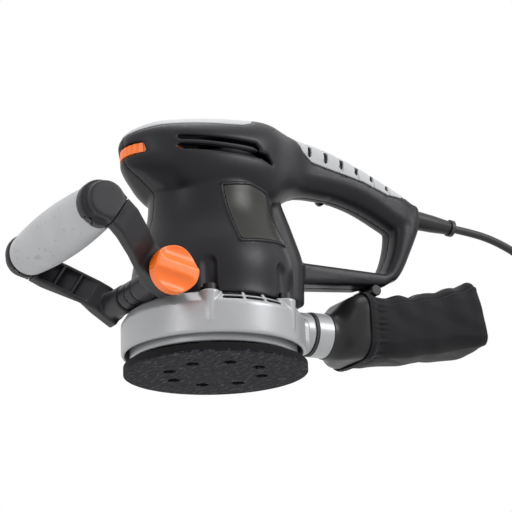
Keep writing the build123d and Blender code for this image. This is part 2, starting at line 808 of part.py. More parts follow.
def build():
    palm, grip = skins()
    left_badge, right_badge = badges()
    screws = skirt_screws()
    relief = strain_relief()
    pin = bag_rest_pin()
    inserts = [relief, pin, switch_well()]
    left, right = housing_shells(palm, grip, inserts)
    coils = field_coils()
    holders, brushes, springs = brush_set()
    fasteners = pad_screws()
    cap_fasteners = handle_cap_screws()
    save(left, "housing_left")
    save(right, "housing_right")
    save(palm, "palm_pad")
    save(grip - grip_grooves(), "rear_grip_pad")
    save(left_badge, "badge_left")
    save(right_badge, "badge_right")
    save(housing_screws(), "housing_screws")
    save(switch_body(), "switch_body")
    save(switch_rocker(), "switch_rocker")
    save(speed_dial(), "speed_dial")
    save(speed_module(), "speed_module")
    save(capacitor(), "capacitor")
    save(cord_clamp(), "cord_clamp")
    save(relief, "strain_relief")
    save(pin, "bag_rest_pin")
    save(stator_core(coils), "stator_core")
    save(coils, "field_coils")
    save(holders, "brush_holders")
    save(brushes, "carbon_brushes")
    save(springs, "brush_springs")
    save(ring_z(11.0, 4.04, 138, 146.8), "upper_bearing")
    save(ring_z(12.0, 4.04, 42.4, 49.4), "lower_bearing")
    save(bearing_bracket(), "bearing_bracket")
    save(armature_shaft(), "armature_shaft")
    save(armature_core(), "armature_core")
    save(armature_windings(), "armature_windings")
    save(commutator(), "commutator")
    save(cooling_fan(), "cooling_fan")
    save(eccentric_hub(), "eccentric_hub")
    save(counterweight(), "counterweight")
    save(pad_bearing(), "pad_bearing")
    save(pad_carrier() - fasteners, "pad_carrier")
    save(fasteners, "pad_screws")
    save(backing_pad(fasteners), "backing_pad")
    save(hook_face(), "hook_face")
    save(base_skirt(screws), "base_skirt")
    save(screws, "skirt_screws")
    save(port_o_ring(), "port_o_ring")
    save(adapter_ring(), "adapter_ring")
    save(bag_hopper(), "bag_hopper")
    save(bag_band(), "bag_band")
    save(dust_bag(), "dust_bag")
    save(arm(-1, NEAR_END_Y), "handle_arm_left")
    save(arm(1, FAR_END_Y), "handle_arm_right")
    save(grip_core(cap_fasteners), "grip_core")
    save(front_grip(), "front_grip")
    save(cap_fasteners, "handle_cap_screws")
    save(clamp_knob(), "clamp_knob")
    save(clamp_bolt(), "clamp_bolt")
    save(clamp_washer(), "clamp_washer")
    save(clamp_nut(), "clamp_nut")
    save(power_cord(), "power_cord")
    save(cord_coil(), "cord_coil")
    save(cord_tail(), "cord_tail")
    save(plug_body(), "plug_body")
    save(plug_pins(), "plug_pins")


build()
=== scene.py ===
import itertools
import math

import bmesh
import bpy
import numpy as np
import openvdb
from mathutils import Matrix, Vector


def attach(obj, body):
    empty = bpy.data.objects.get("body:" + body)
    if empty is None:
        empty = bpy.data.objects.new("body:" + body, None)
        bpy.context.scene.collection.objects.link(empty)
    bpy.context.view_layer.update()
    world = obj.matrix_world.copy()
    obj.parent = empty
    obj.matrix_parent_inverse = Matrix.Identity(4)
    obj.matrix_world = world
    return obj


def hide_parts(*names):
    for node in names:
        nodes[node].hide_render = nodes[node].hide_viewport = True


# Random orbital sander. The frame is in metres. The forms below are written in millimetres.
MM = 0.001

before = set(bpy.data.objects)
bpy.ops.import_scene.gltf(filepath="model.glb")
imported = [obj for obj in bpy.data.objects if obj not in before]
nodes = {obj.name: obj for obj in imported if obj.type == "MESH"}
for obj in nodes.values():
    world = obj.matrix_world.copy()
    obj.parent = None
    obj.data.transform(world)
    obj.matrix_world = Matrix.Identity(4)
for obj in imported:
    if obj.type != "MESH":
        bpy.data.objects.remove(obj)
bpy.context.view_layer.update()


def new_object(name, data):
    obj = bpy.data.objects.new(name, data)
    bpy.context.scene.collection.objects.link(obj)
    return obj


# ---------------------------------------------------------------- camera

CAM_AZIMUTH = math.radians(-30.0)
CAM_ELEVATION = math.radians(-17.46)
CAM_ROLL = math.radians(-1.98)
CAM_DISTANCE = 1.215
CAM_SIDE = 0.0282
CAM_RISE = 0.0794
CAM_LENS = 126.56


def make_camera():
    ca, sa = math.cos(CAM_AZIMUTH), math.sin(CAM_AZIMUTH)
    ce, se = math.cos(CAM_ELEVATION), math.sin(CAM_ELEVATION)
    back = Vector((sa * ce, -ca * ce, se))
    right = Vector((ca, sa, 0))
    up = back.cross(right)
    c, s = math.cos(CAM_ROLL), math.sin(CAM_ROLL)
    right, up = right * c + up * s, up * c - right * s
    data = bpy.data.cameras.new("camera")
    data.lens = CAM_LENS
    data.sensor_width = 36.0
    data.clip_start = 0.05
    data.clip_end = 20.0
    cam = new_object("camera", data)
    turn = Matrix((right, up, back)).transposed().to_4x4()
    cam.matrix_world = Matrix.Translation(back * CAM_DISTANCE + right * CAM_SIDE + up * CAM_RISE) @ turn
    bpy.context.scene.camera = cam


make_camera()


# ---------------------------------------------------------------- materials

def new_material(name):
    material = bpy.data.materials.new(name)
    material.use_nodes = True
    tree = material.node_tree
    return material, tree, tree.nodes["Principled BSDF"]


def add_node(tree, kind, **values):
    node = tree.nodes.new(kind)
    for key, value in values.items():
        setattr(node, key, value)
    return node


def noise(tree, scale, detail=3.0, rough=0.5, stretch=None):
    coordinates = add_node(tree, "ShaderNodeTexCoord")
    out = coordinates.outputs["Object"]
    if stretch:
        mapping = add_node(tree, "ShaderNodeMapping")
        mapping.inputs["Scale"].default_value = stretch
        tree.links.new(out, mapping.inputs["Vector"])
        out = mapping.outputs["Vector"]
    texture = add_node(tree, "ShaderNodeTexNoise")
    texture.inputs["Scale"].default_value = scale
    texture.inputs["Detail"].default_value = detail
    texture.inputs["Roughness"].default_value = rough
    tree.links.new(out, texture.inputs["Vector"])
    return texture.outputs["Fac"]


def ramp(tree, fac, stops):
    node = add_node(tree, "ShaderNodeValToRGB")
    elements = node.color_ramp.elements
    while len(elements) < len(stops):
        elements.new(0.5)
    for element, (position, colour) in zip(elements, stops):
        element.position = position
        element.color = (*colour, 1.0) if len(colour) == 3 else colour
    tree.links.new(fac, node.inputs["Fac"])
    return node.outputs["Color"]


def to_range(tree, fac, low, high):
    node = add_node(tree, "ShaderNodeMapRange")
    node.inputs["To Min"].default_value = low
    node.inputs["To Max"].default_value = high
    tree.links.new(fac, node.inputs["Value"])
    return node.outputs["Result"]


def mix_colour(tree, fac, a, b):
    node = add_node(tree, "ShaderNodeMix", data_type="RGBA")
    tree.links.new(fac, node.inputs["Factor"])
    for socket, value in (("A", a), ("B", b)):
        target = [i for i in node.inputs if i.name == socket and i.type == "RGBA"][0]
        if isinstance(value, tuple):
            target.default_value = (*value, 1.0)
        else:
            tree.links.new(value, target)
    return [o for o in node.outputs if o.type == "RGBA"][0]


def add_bump(tree, shader, height, strength, distance):
    bump = add_node(tree, "ShaderNodeBump")
    bump.inputs["Strength"].default_value = strength
    bump.inputs["Distance"].default_value = distance
    tree.links.new(height, bump.inputs["Height"])
    tree.links.new(bump.outputs["Normal"], shader.inputs["Normal"])


def shade(colour, factor):
    return tuple(min(1.0, c * factor) for c in colour)


def plastic(name, colour, rough=0.42, grain=1400.0, grain_depth=0.00006, wear=0.25, spread=0.12, specular=0.5,
            metallic=0.0):
    """Moulded plastic: cloudy colour, fine spark grain, rubbed lighter on its edges."""
    material, tree, shader = new_material(name)
    cloud = noise(tree, 38.0, 4.0)
    base = ramp(tree, cloud, [(0.3, shade(colour, 1 - spread)), (0.7, shade(colour, 1 + spread))])
    geometry = add_node(tree, "ShaderNodeNewGeometry")
    edge = ramp(tree, geometry.outputs["Pointiness"], [(0.51, (0, 0, 0)), (0.56, (wear, wear, wear))])
    base = mix_colour(tree, edge, base, tuple(min(1.0, c * 1.7 + 0.05) for c in colour))
    tree.links.new(base, shader.inputs["Base Color"])
    scuff = noise(tree, 160.0, 5.0, 0.6)
    tree.links.new(to_range(tree, scuff, rough - 0.07, rough + 0.07), shader.inputs["Roughness"])
    shader.inputs["Specular IOR Level"].default_value = specular
    shader.inputs["Metallic"].default_value = metallic
    add_bump(tree, shader, noise(tree, grain, 2.0), 0.35, grain_depth)
    return material


def metal(name, colour, rough=0.32, stretch=(1, 1, 20)):
    """Bare metal with fine lines across its stretch."""
    material, tree, shader = new_material(name)
    lines = noise(tree, 220.0, 3.0, 0.6, stretch)
    base = ramp(tree, lines, [(0.25, shade(colour, 0.8)), (0.75, shade(colour, 1.1))])
    tree.links.new(base, shader.inputs["Base Color"])
    tree.links.new(to_range(tree, lines, rough - 0.08, rough + 0.12), shader.inputs["Roughness"])
    shader.inputs["Metallic"].default_value = 1.0
    add_bump(tree, shader, lines, 0.2, 0.00005)
    return material


def hook_fabric(name):
    """Short dark hooks: streaky pile with a felted bump."""
    material, tree, shader = new_material(name)
    pile = noise(tree, 420.0, 6.0, 0.8, (1.0, 0.3, 1.0))
    cloud = noise(tree, 90.0, 4.0, 0.6)
    depths = [(0.4, (0.001, 0.001, 0.0015)), (0.52, (0.007, 0.007, 0.010)), (0.62, (0.065, 0.065, 0.08))]
    base = ramp(tree, pile, depths)
    base = mix_colour(tree, to_range(tree, cloud, 0.0, 0.35), base, (0.006, 0.006, 0.008))
    tree.links.new(base, shader.inputs["Base Color"])
    tree.links.new(to_range(tree, cloud, 0.85, 1.0), shader.inputs["Roughness"])
    shader.inputs["Sheen Weight"].default_value = 0.02
    shader.inputs["Sheen Roughness"].default_value = 0.6
    shader.inputs["Specular IOR Level"].default_value = 0.15
    add_bump(tree, shader, pile, 0.8, 0.0003)
    return material


def cloth(name, colour):
    """Plain woven synthetic cloth."""
    material, tree, shader = new_material(name)
    coordinates = add_node(tree, "ShaderNodeTexCoord")
    waves = []
    for direction in ("X", "Z"):
        wave = add_node(tree, "ShaderNodeTexWave", bands_direction=direction)
        wave.inputs["Scale"].default_value = 900.0
        wave.inputs["Distortion"].default_value = 0.6
        tree.links.new(coordinates.outputs["Object"], wave.inputs["Vector"])
        waves.append(wave.outputs["Fac"])
    weave = add_node(tree, "ShaderNodeMath", operation="MULTIPLY")
    tree.links.new(waves[0], weave.inputs[0])
    tree.links.new(waves[1], weave.inputs[1])
    cloud = noise(tree, 30.0, 5.0, 0.6)
    base = ramp(tree, cloud, [(0.3, shade(colour, 0.75)), (0.7, shade(colour, 1.35))])
    base = mix_colour(tree, to_range(tree, weave.outputs[0], 0.0, 0.25), base, shade(colour, 1.8))
    tree.links.new(base, shader.inputs["Base Color"])
    tree.links.new(to_range(tree, cloud, 0.62, 0.78), shader.inputs["Roughness"])
    shader.inputs["Specular IOR Level"].default_value = 0.2
    shader.inputs["Sheen Weight"].default_value = 0.05
    shader.inputs["Sheen Roughness"].default_value = 0.4
    add_bump(tree, shader, weave.outputs[0], 0.3, 0.0001)
    return material


MATERIALS = {
    "body": plastic("body_plastic", (0.0062, 0.0062, 0.0088), rough=0.40, wear=0.08, specular=0.26),
    "arm": plastic("arm_plastic", (0.012, 0.012, 0.0145), rough=0.45, wear=0.12, specular=0.3),
    "black": plastic("black_plastic", (0.009, 0.009, 0.010), rough=0.38, specular=0.35),
    "soft": plastic("soft_grip", (0.37, 0.375, 0.385), rough=0.62, grain=900.0, grain_depth=0.0001, wear=0.05,
                    spread=0.06, specular=0.35),
    "orange": plastic("orange_plastic", (0.82, 0.15, 0.010), rough=0.36, wear=0.1, spread=0.05),
    "silver": plastic("silver_plastic", (0.33, 0.335, 0.345), rough=0.36, wear=0.1, spread=0.04,
                      metallic=0.35, grain_depth=0.00004),
    "badge": plastic("badge_film", (0.010, 0.0105, 0.008), rough=0.36, specular=0.3, wear=0.1, grain=2400.0),
    "foam": plastic("pad_foam", (0.006, 0.006, 0.007), rough=0.8, specular=0.15, grain=700.0,
                    grain_depth=0.0003, wear=0.0),
    "rubber": plastic("cord_rubber", (0.012, 0.012, 0.013), specular=0.35, rough=0.42, grain=1200.0),
    "seal": plastic("seal_rubber", (0.006, 0.006, 0.006), rough=0.6),
    "board": plastic("circuit_board", (0.006, 0.010, 0.007), rough=0.5),
    "carbon": plastic("carbon_block", (0.02, 0.02, 0.02), rough=0.7),
    "hook": hook_fabric("hook_fabric"),
    "cloth": cloth("bag_cloth", (0.0045, 0.0045, 0.006)),
    "steel": metal("steel", (0.56, 0.57, 0.58)),
    "dark_steel": metal("blackened_steel", (0.05, 0.05, 0.052), rough=0.4),
    "lamination": metal("laminations", (0.3, 0.3, 0.31), rough=0.5, stretch=(1, 1, 60)),
    "copper": metal("copper_wire", (0.72, 0.32, 0.16), rough=0.35, stretch=(1, 1, 40)),
    "brass": metal("brass", (0.75, 0.56, 0.25)),
    "cast": metal("cast_aluminium", (0.62, 0.62, 0.63), rough=0.5, stretch=(1, 1, 1)),
}
NODE_LOOKS = {
    "housing_left": "body", "housing_right": "body", "palm_pad": "soft", "rear_grip_pad": "soft",
    "badge_left": "badge", "badge_right": "badge", "housing_screws": "dark_steel", "switch_body": "black",
    "switch_rocker": "orange", "speed_dial": "orange", "speed_module": "board", "capacitor": "black",
    "cord_clamp": "black", "strain_relief": "rubber", "bag_rest_pin": "black", "stator_core": "lamination",
    "field_coils": "copper", "brush_holders": "brass", "carbon_brushes": "carbon", "brush_springs": "steel",
    "upper_bearing": "steel", "lower_bearing": "steel", "bearing_bracket": "cast", "armature_shaft": "steel",
    "armature_core": "lamination", "armature_windings": "copper", "commutator": "copper",
    "cooling_fan": "black", "eccentric_hub": "steel", "counterweight": "lamination", "pad_bearing": "steel",
    "pad_carrier": "cast", "pad_screws": "dark_steel", "backing_pad": "foam", "hook_face": "hook",
    "base_skirt": "silver", "skirt_screws": "dark_steel", "port_o_ring": "seal", "adapter_ring": "silver",
    "bag_hopper": "black", "bag_band": "cloth", "dust_bag": "cloth", "handle_arm_left": "arm",
    "handle_arm_right": "arm", "grip_core": "black", "front_grip": "soft", "handle_cap_screws": "dark_steel",
    "clamp_knob": "orange", "clamp_bolt": "steel", "clamp_washer": "steel", "clamp_nut": "steel",
    "power_cord": "rubber", "cord_coil": "rubber", "cord_tail": "rubber", "plug_body": "rubber",
    "plug_pins": "steel",
}


def paint(obj, look):
    obj.data.materials.clear()
    obj.data.materials.append(MATERIALS[look])


for node_name, look in NODE_LOOKS.items():
    paint(nodes[node_name], look)


# ---------------------------------------------------------------- mains cord

CORD_DIAMETER = 0.006
CORD_ROUTE = [
    (206, 0, 130.6),
    (226, 0, 129.6),
    (246, 0, 126),
    (268, 0, 118),
    (287, -0.5, 103),
    (299, -1.5, 82),
    (302, -3.5, 58),
    (294, -8, 36),
    (274, -15, 16.5),
]
COIL_CENTRE = (287.0, -43.0)
COIL_START_ANGLE = 115
COIL_START_RADIUS = 32.0
COIL_START_HEIGHT = 15.0
TURN_POINTS = 16
COIL_LEGS = [
    # points in a stretch, radius at its end, height at its end
    (16, 39, 15),
    (2, 39, 9),
    (40, 23.8, 9),
    (2, 23.8, 3),
    (47, 41.6, 3),
]
TAIL = [(329, -29, 3.2), (328, -21, 4.5), (326, -9, 9.5)]


def coil_points():
    """Three flat layers of turns: outwards, then inwards, then outwards on the floor."""
    radius, height = COIL_START_RADIUS, COIL_START_HEIGHT
    step = 0
    points = []
    for count, end_radius, end_height in COIL_LEGS:
        for i in range(1, count + 1):
            step += 1
            angle = math.radians(COIL_START_ANGLE + 360 * step / TURN_POINTS)
            here = radius + (end_radius - radius) * i / count
            level = height + (end_height - height) * i / count
            x = COIL_CENTRE[0] + here * math.cos(angle)
            y = COIL_CENTRE[1] + here * math.sin(angle)
            points.append((x, y, level))
        radius, height = end_radius, end_height
    return points


def nurbs_curve(name, points, radius, look):
    data = bpy.data.curves.new(name, "CURVE")
    data.dimensions = "3D"
    data.bevel_depth = radius
    data.bevel_resolution = 5
    data.resolution_u = 10
    data.use_fill_caps = True
    spline = data.splines.new("NURBS")
    spline.points.add(len(points) - 1)
    for point, place in zip(spline.points, points):
        point.co = (place[0] * MM, place[1] * MM, place[2] * MM, 1.0)
    spline.order_u = 3
    spline.use_endpoint_u = True
    data.materials.append(MATERIALS[look])
    return new_object(name, data)


cord = nurbs_curve("mains_cord", CORD_ROUTE + coil_points() + TAIL, CORD_DIAMETER / 2, "rubber")
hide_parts("power_cord", "cord_coil", "cord_tail")
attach(cord, "casing")


# ---------------------------------------------------------------- moulded pieces

# Weights of a five-cell blur.
BLUR = (0.06136, 0.24477, 0.38774, 0.24477, 0.06136)
# Distances are true this many cells away from the surface.
BAND = 4
# Half the stretch, in cells, over which a field's slope is taken.
SLOPE_STEP = 0.6
# Triangles smaller than this, in square cells, are left out.
LEAST_AREA = 1e-7


def node_mesh(*names):
    """Points in millimetres, and triangles, of CAD nodes taken together."""
    points, triangles, start = [], [], 0
    for name in names:
        mesh = nodes[name].data
        mesh.calc_loop_triangles()
        co = np.zeros(len(mesh.vertices) * 3, np.float32)
        tri = np.zeros(len(mesh.loop_triangles) * 3, np.int32)
        mesh.vertices.foreach_get("co", co)
        mesh.loop_triangles.foreach_get("vertices", tri)
        points.append(co.reshape(-1, 3) / MM)
        triangles.append(tri.reshape(-1, 3) + start)
        start += len(points[-1])
    return np.concatenate(points), np.concatenate(triangles)


class Field:
    """A signed distance field in millimetres over a box of small cubes, negative inside."""

    def __init__(self, low, high, cell):
        self.cell = cell
        self.origin = np.floor(np.array(low) / cell).astype(int) - BAND - 2
        self.shape = np.ceil(np.array(high) / cell).astype(int) + BAND + 3 - self.origin
        self.values = np.full(self.shape, BAND * cell, np.float32)

    def axes(self):
        """Coordinates that broadcast over the field."""
        spans = [(np.arange(n) + o).astype(np.float32) * self.cell for n, o in zip(self.shape, self.origin)]
        return spans[0][:, None, None], spans[1][None, :, None], spans[2][None, None, :]

    def fill_from(self, points, triangles):
        """Sets the distances from a closed mesh."""
        transform = openvdb.createLinearTransform(voxelSize=self.cell)
        grid = openvdb.FloatGrid.createLevelSetFromPolygons(
            points, triangles=triangles, transform=transform, halfWidth=BAND)
        grid.copyToArray(self.values, ijk=tuple(int(i) for i in self.origin))
        return self

    def blur(self, times):
        """Evens the distances out along each axis, which rounds edges and corners."""
        for _ in range(times):
            for axis in range(3):
                source = np.moveaxis(self.values, axis, 0)
                result = source.copy()
                total = BLUR[2] * source[2:-2]
                for k, weight in ((0, BLUR[0]), (1, BLUR[1]), (3, BLUR[3]), (4, BLUR[4])):
                    total = total + weight * source[k:source.shape[0] - 4 + k]
                result[2:-2] = total
                self.values = np.moveaxis(result, 0, axis)
        return self

    def add(self, other, soft=0.0):
        self.values = -smooth_max(-self.values, -other, soft)

    def cut(self, other, soft=0.0):
        self.values = smooth_max(self.values, -other, soft)

    def sample(self, places):
        """Trilinear value at points given in cells from the field's corner."""
        base = np.clip(np.floor(places).astype(int), 0, np.array(self.values.shape) - 2)
        part = places - base
        total = 0.0
        for corner in itertools.product((0, 1), repeat=3):
            weight = np.abs(1 - np.array(corner) - part).prod(axis=1)
            x, y, z = (base + corner).T
            total = total + weight * self.values[x, y, z]
        return total

    def to_object(self, name, look, detail=0.03):
        """Meshes the field and shades it with the field's own slope."""
        grid = openvdb.FloatGrid(background=float(BAND * self.cell))
        grid.copyFromArray(np.ascontiguousarray(np.clip(self.values, -BAND * self.cell, BAND * self.cell)))
        points, triangles, quads = grid.convertToPolygons(0.0, detail)
        slope = np.stack([self.sample(points + step) - self.sample(points - step)
                          for step in np.eye(3) * SLOPE_STEP], axis=1)
        slope /= np.maximum(np.linalg.norm(slope, axis=1, keepdims=True), 1e-9)
        quads = np.concatenate([quads[:, (0, 1, 2)], quads[:, (0, 2, 3)]]) if len(quads) else quads[:, :3]
        faces = np.concatenate([triangles, quads]).astype(np.int64)
        a, b, c = (points[faces[:, i]] for i in range(3))
        facing = np.einsum("ij,ij->i", np.cross(b - a, c - a), slope[faces].mean(axis=1))
        area = np.linalg.norm(np.cross(b - a, c - a), axis=1)
        faces[facing < 0] = faces[facing < 0][:, ::-1]
        faces = faces[area > LEAST_AREA]
        place = (points + self.origin) * self.cell * MM
        mesh = bpy.data.meshes.new(name)
        mesh.from_pydata(place.tolist(), [], faces.tolist())
        mesh.polygons.foreach_set("use_smooth", np.ones(len(mesh.polygons), bool))
        mesh.normals_split_custom_set_from_vertices(slope.tolist())
        mesh.materials.append(MATERIALS[look])
        return new_object(name, mesh)


def smooth_max(a, b, soft):
    """The larger of two fields, blended over the given distance where they are close."""
    if soft <= 0:
        return np.maximum(a, b)
    h = np.clip(0.5 + 0.5 * (a - b) / soft, 0, 1)
    return b + (a - b) * h + soft * h * (1 - h)


def outline_field(u, v, outline):
    """Signed distance to a closed outline in the u, v plane, negative inside."""
    best = None
    inside = None
    count = len(outline)
    for i in range(count):
        (u0, v0), (u1, v1) = outline[i], outline[(i + 1) % count]
        du, dv = u1 - u0, v1 - v0
        t = np.clip(((u - u0) * du + (v - v0) * dv) / (du * du + dv * dv), 0, 1)
        gap = (u - u0 - t * du) ** 2 + (v - v0 - t * dv) ** 2
        best = gap if best is None else np.minimum(best, gap)
        crosses = ((v0 > v) != (v1 > v)) & (u < u0 + (v - v0) * du / (dv if dv else 1e-9))
        inside = crosses if inside is None else inside ^ crosses
    return np.where(inside, -1.0, 1.0) * np.sqrt(best)


def capsule_field(axes, a, b, radius):
    """Signed distance to a round-ended bar from a to b."""
    x, y, z = axes
    d = np.array(b, float) - np.array(a, float)
    t = np.clip(((x - a[0]) * d[0] + (y - a[1]) * d[1] + (z - a[2]) * d[2]) / (d @ d), 0, 1)
    off_x, off_y, off_z = x - a[0] - t * d[0], y - a[1] - t * d[1], z - a[2] - t * d[2]
    return np.sqrt(off_x ** 2 + off_y ** 2 + off_z ** 2) - radius


def field_of(names, cell, blur):
    """The field of CAD nodes taken together, its edges rounded by the given number of blurs."""
    points, triangles = node_mesh(*names)
    return Field(points.min(0), points.max(0), cell).fill_from(points, triangles).blur(blur)


def finish_piece(obj, body, slot, *replaced):
    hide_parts(*replaced)
    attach(obj, body)


def rounded(name, ending, cell, blur, look, body, slot):
    """A CAD node with its edges rounded as moulding or casting leaves them."""
    obj = field_of([name], cell, blur).to_object(name + ending, look)
    finish_piece(obj, body, slot, name)


# ---------------------------------------------------------------- housing

SEAM = 0.15
# Corners of the badge recess, as x and z.
BADGE_OUTLINE = [(-10.5, 120.5), (10, 123.5), (26, 121), (39.5, 88), (38, 86), (-5, 80)]
BADGE_FRAME_OFFSET = 1.3
BADGE_FRAME_HALF_WIDTH = 0.9
BADGE_FRAME_RISE = 1.1
BADGE_FRAME_INNER_Y = 24


def housing_pieces():
    """Both shells, blended where the head, neck and handle meet, with a parting line."""
    field = field_of(["housing_left", "housing_right"], cell=0.6, blur=3)
    x, y, z = field.axes()
    panel = outline_field(x, z, BADGE_OUTLINE)
    border = np.abs(panel - BADGE_FRAME_OFFSET) - BADGE_FRAME_HALF_WIDTH
    border = np.maximum(field.values - BADGE_FRAME_RISE, border)
    border = np.maximum(border, BADGE_FRAME_INNER_Y - np.abs(y))
    field.add(border, 0.5)
    whole = field.values
    for side, name in ((-1, "housing_left"), (1, "housing_right")):
        field.values = np.maximum(whole, SEAM / 2 - side * y)
        obj = field.to_object(name + "_moulded", "body", detail=0.05)
        finish_piece(obj, "casing", "body_plastic", name)


# ---------------------------------------------------------------- front handle and knob

# Where the clamp bolt's and the front grip's axes stand, as x and z, and the slope of the arms between them.
HUB = (-58.5, 50.0)
GRIP = (-113.2, 84.8)
RAKE = math.radians(32.46)
# The line that each arm's hollow is measured from: places along the arm, distances from the middle plane.
HOLLOW_LINE = {
    -1: ([-9, 9, 14, 19, 30, 44, 54, 60, 68], [33, 33, 40, 43, 52, 61, 65, 66, 66]),
    1: ([-9, 9, 17, 40, 52, 60, 68], [27, 27, 31, 47, 54, 56, 56]),
}
HOLLOW_DEPTH = 5.5
HOLLOW_HALF_WIDTH = 8.0
HOLLOW_START = 17
HOLLOW_END = 51
RIB_PLACES = (28, 40)
RIB_HALF = 0.9
SPLIT_PLACE = 54
SPLIT_HALF = 0.35
SPLIT_DEPTH = 1.2


def handle_arm(side, name):
    """An arm with its hollow inner side, ribs and the split line of its cap."""
    field = field_of([name], cell=0.4, blur=4)
    x, y, z = field.axes()
    along = -(x - HUB[0]) * math.cos(RAKE) + (z - HUB[1]) * math.sin(RAKE)
    across = (x - HUB[0]) * math.sin(RAKE) + (z - HUB[1]) * math.cos(RAKE)
    line = np.interp(along, *HOLLOW_LINE[side]).astype(np.float32)
    hollow = np.maximum(np.abs(across) - HOLLOW_HALF_WIDTH, side * y - line - HOLLOW_DEPTH)
    hollow = np.maximum(hollow, np.maximum(HOLLOW_START - along, along - HOLLOW_END))
    for rib in RIB_PLACES:
        hollow = np.maximum(hollow, RIB_HALF - np.abs(along - rib))
    field.cut(hollow, 0.8)
    split = np.maximum(np.abs(along - SPLIT_PLACE) - SPLIT_HALF, -(field.values + SPLIT_DEPTH))
    field.cut(split, 0.2)
    obj = field.to_object(name + "_moulded", "arm", detail=0.04)
    finish_piece(obj, "front_handle", "handle_plastic", name)


GRIP_MIDDLE_Y = -4
GRIP_HALF = 56
GRIP_MID_R = 17.6
GRIP_TAPER = 3.1
PIT_COUNT = 46
PIT_SPAN = (-54, 46)
PIT_R = 0.7
RECESS_ANGLE = math.radians(237)
RECESS_REACH = 17.9
RECESS_Y = 14.0
RECESS_HALF = 2.2
RECESS_R = 2.0


def grip_piece():
    """Soft spindle with small pits and one oval recess."""
    field = field_of(["front_grip"], cell=0.4, blur=2)
    axes = field.axes()
    rng = np.random.default_rng(4)
    for _ in range(PIT_COUNT):
        along = rng.uniform(*PIT_SPAN)
        angle = rng.uniform(0, 2 * math.pi)
        reach = GRIP_MID_R - GRIP_TAPER * ((along - GRIP_MIDDLE_Y) / GRIP_HALF) ** 2
        centre = (GRIP[0] + reach * math.cos(angle), along, GRIP[1] + reach * math.sin(angle))
        field.cut(capsule_field(axes, centre, (centre[0], centre[1] + 0.01, centre[2]), PIT_R), 0.2)
    x = GRIP[0] + RECESS_REACH * math.cos(RECESS_ANGLE)
    z = GRIP[1] + RECESS_REACH * math.sin(RECESS_ANGLE)
    start, end = (x, RECESS_Y - RECESS_HALF, z), (x, RECESS_Y + RECESS_HALF, z)
    field.cut(capsule_field(axes, start, end, RECESS_R), 0.3)
    obj = field.to_object("front_grip_soft", "soft")
    finish_piece(obj, "front_handle", "soft_grip", "front_grip")


KNOB_LOW = (-75, -64.5, 33)
KNOB_HIGH = (-42, -51.5, 67)
KNOB_R = 15.8
KNOB_EDGE = 2.2
KNOB_FACE_Y = -64.0
KNOB_RIM_Y = -58.5
KNOB_BACK_Y = -52.0
RIDGE_TILT = math.radians(-8)
# Both ends of a thumb scoop, along and across the ridge.
SCOOP_ENDS = ((-7.0, 11.2), (22.0, 9.4))
SCOOP_LIFT = 3.5
SCOOP_R = 8.0
NOTCH_COUNT = 36
NOTCH_RING_R = 16.3
NOTCH_R = 0.75
BOLT_HOLE_R = 3.3
HEAD_POCKET_R = 6.9
POCKET_FLOOR_Y = -59.3
POCKET_MOUTH_Y = -57.0


def knob_piece():
    """Round clamp knob: a straight ridge between two thumb scoops, and a notched rim."""
    field = Field(KNOB_LOW, KNOB_HIGH, cell=0.3)
    x, y, z = field.axes()
    radial = np.sqrt((x - HUB[0]) ** 2 + (z - HUB[1]) ** 2)
    slab = smooth_max(KNOB_FACE_Y - y, y - KNOB_BACK_Y, 0.5)
    field.values = smooth_max(radial - KNOB_R, slab, KNOB_EDGE).astype(np.float32)
    across = (x - HUB[0]) * math.cos(RIDGE_TILT) + (z - HUB[1]) * math.sin(RIDGE_TILT)
    rise = -(x - HUB[0]) * math.sin(RIDGE_TILT) + (z - HUB[1]) * math.cos(RIDGE_TILT)
    for side in (-1, 1):
        start, end = (np.array([u * side, KNOB_FACE_Y - SCOOP_LIFT, v * side]) for u, v in SCOOP_ENDS)
        field.cut(capsule_field((across, y, rise), start, end, SCOOP_R), 1.2)
    for i in range(NOTCH_COUNT):
        angle = 2 * math.pi * i / NOTCH_COUNT
        notch_x = HUB[0] + NOTCH_RING_R * math.cos(angle)
        notch_z = HUB[1] + NOTCH_RING_R * math.sin(angle)
        notch = np.sqrt((x - notch_x) ** 2 + (z - notch_z) ** 2) - NOTCH_R
        field.cut(np.maximum(notch, KNOB_RIM_Y - y), 0.2)
    behind = POCKET_FLOOR_Y - y
    field.cut(np.maximum(np.maximum(radial - HEAD_POCKET_R, behind), y - POCKET_MOUTH_Y))
    field.cut(np.maximum(radial - BOLT_HOLE_R, behind))
    obj = field.to_object("clamp_knob_moulded", "orange", detail=0.02)
    finish_piece(obj, "knob", "orange_plastic", "clamp_knob")


# ---------------------------------------------------------------- soft skins

SLOTS = [
    # x, upper z, lower z of the finger slots in the rear grip pad
    (74.2, 169.4, 163.6),
    (88.2, 167.0, 161.2),
    (101.6, 163.6, 159.2),
    (114.5, 160.0, 156.6),
    (127.6, 155.9, 153.1),
    (140.8, 150.8, 148.1),
]
SLOT_R = 1.75
SLOT_LEAN = 0.8
SLOT_INNER_Y = 7.5


def rear_grip_pad():
    """The pad on the rear handle, with a leaning slot on each side at each finger."""
    field = field_of(["rear_grip_pad"], cell=0.35, blur=1)
    x, y, z = field.axes()
    for middle, high, low in SLOTS:
        t = np.clip((z - low) / (high - low), 0, 1)
        aside = x - middle + SLOT_LEAN - 2 * SLOT_LEAN * t
        slot = np.sqrt(aside ** 2 + (z - low - t * (high - low)) ** 2) - SLOT_R
        field.cut(np.maximum(slot, SLOT_INNER_Y - np.abs(y)), 0.3)
    obj = field.to_object("rear_grip_pad_moulded", "soft")
    finish_piece(obj, "casing", "soft_grip", "rear_grip_pad")


# ---------------------------------------------------------------- dust bag

